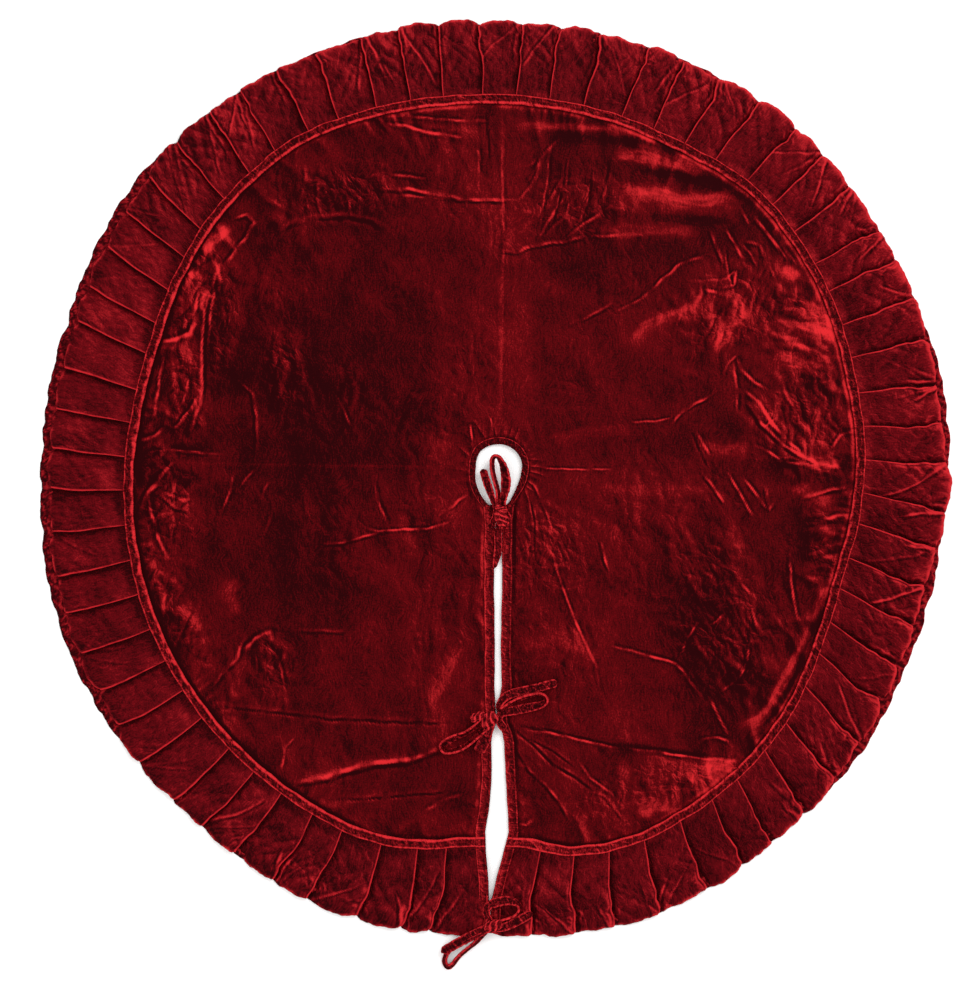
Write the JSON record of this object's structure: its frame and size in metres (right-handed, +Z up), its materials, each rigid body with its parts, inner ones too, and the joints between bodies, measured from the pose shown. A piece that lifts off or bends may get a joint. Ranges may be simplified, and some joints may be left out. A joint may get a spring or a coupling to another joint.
{
  "type": "tree skirt",
  "caption": "Round crushed-velvet tree skirt with a pleated ruffle border, a flat trim band, a bound trunk hole, and a slit closed by self-fabric ties tied in bows.",
  "frame": {"origin": "centre of the trunk hole on the underside, which lies on the floor", "axes": "+Z up, away from the floor; -Y along the slit from the hole to the hem; +X to the right of the slit seen from above"},
  "size_m": [1.2192, 1.2743, 0.0185],
  "materials": {
    "panel_velvet": "crushed velvet, deep crimson",
    "ruffle_velvet": "plush velvet, crimson",
    "trim_velvet": "flat velvet strip, deep crimson",
    "tie_velvet": "narrow self-fabric strip, crimson",
    "lining_cloth": "thin matt woven lining, dark red"
  },
  "bodies": {
    "back_right": {"lining_back_right": "lining_cloth", "top_panel_back_right": "panel_velvet", "ruffle_back_right": "ruffle_velvet", "trim_band_back_right": "trim_velvet", "hole_binding_back_right": "trim_velvet"},
    "back_left": {"lining_back_left": "lining_cloth", "top_panel_back_left": "panel_velvet", "ruffle_back_left": "ruffle_velvet", "trim_band_back_left": "trim_velvet", "hole_binding_back_left": "trim_velvet"},
    "front_right": {"lining_front_right": "lining_cloth", "top_panel_front_right": "panel_velvet", "ruffle_front_right": "ruffle_velvet", "trim_band_front_right": "trim_velvet", "hole_binding_front_right": "trim_velvet", "slit_binding_right": "trim_velvet", "ruffle_end_hem_right": "trim_velvet", "tie_hole_right": "tie_velvet", "tie_middle_right": "tie_velvet", "tie_hem_right": "tie_velvet"},
    "front_left": {"lining_front_left": "lining_cloth", "top_panel_front_left": "panel_velvet", "ruffle_front_left": "ruffle_velvet", "trim_band_front_left": "trim_velvet", "hole_binding_front_left": "trim_velvet", "slit_binding_left": "trim_velvet", "ruffle_end_hem_left": "trim_velvet", "tie_hole_left": "tie_velvet", "tie_middle_left": "tie_velvet", "tie_hem_left": "tie_velvet"}
  },
  "joints": [
    {"name": "back_fold", "type": "hinge", "parent": "back_right", "child": "back_left", "pos_m": [0, 0, 0.042], "axis": [0, 1, 0], "range_deg": [0, 179.8]},
    {"name": "front_right_fold", "type": "hinge", "parent": "back_right", "child": "front_right", "pos_m": [0, 0, 0.019], "axis": [-1, 0, 0], "range_deg": [0, 179.8]},
    {"name": "front_left_fold", "type": "hinge", "parent": "back_left", "child": "front_left", "pos_m": [0, 0, 0.019], "axis": [-1, 0, 0], "range_deg": [0, 179.8]}
  ]
}
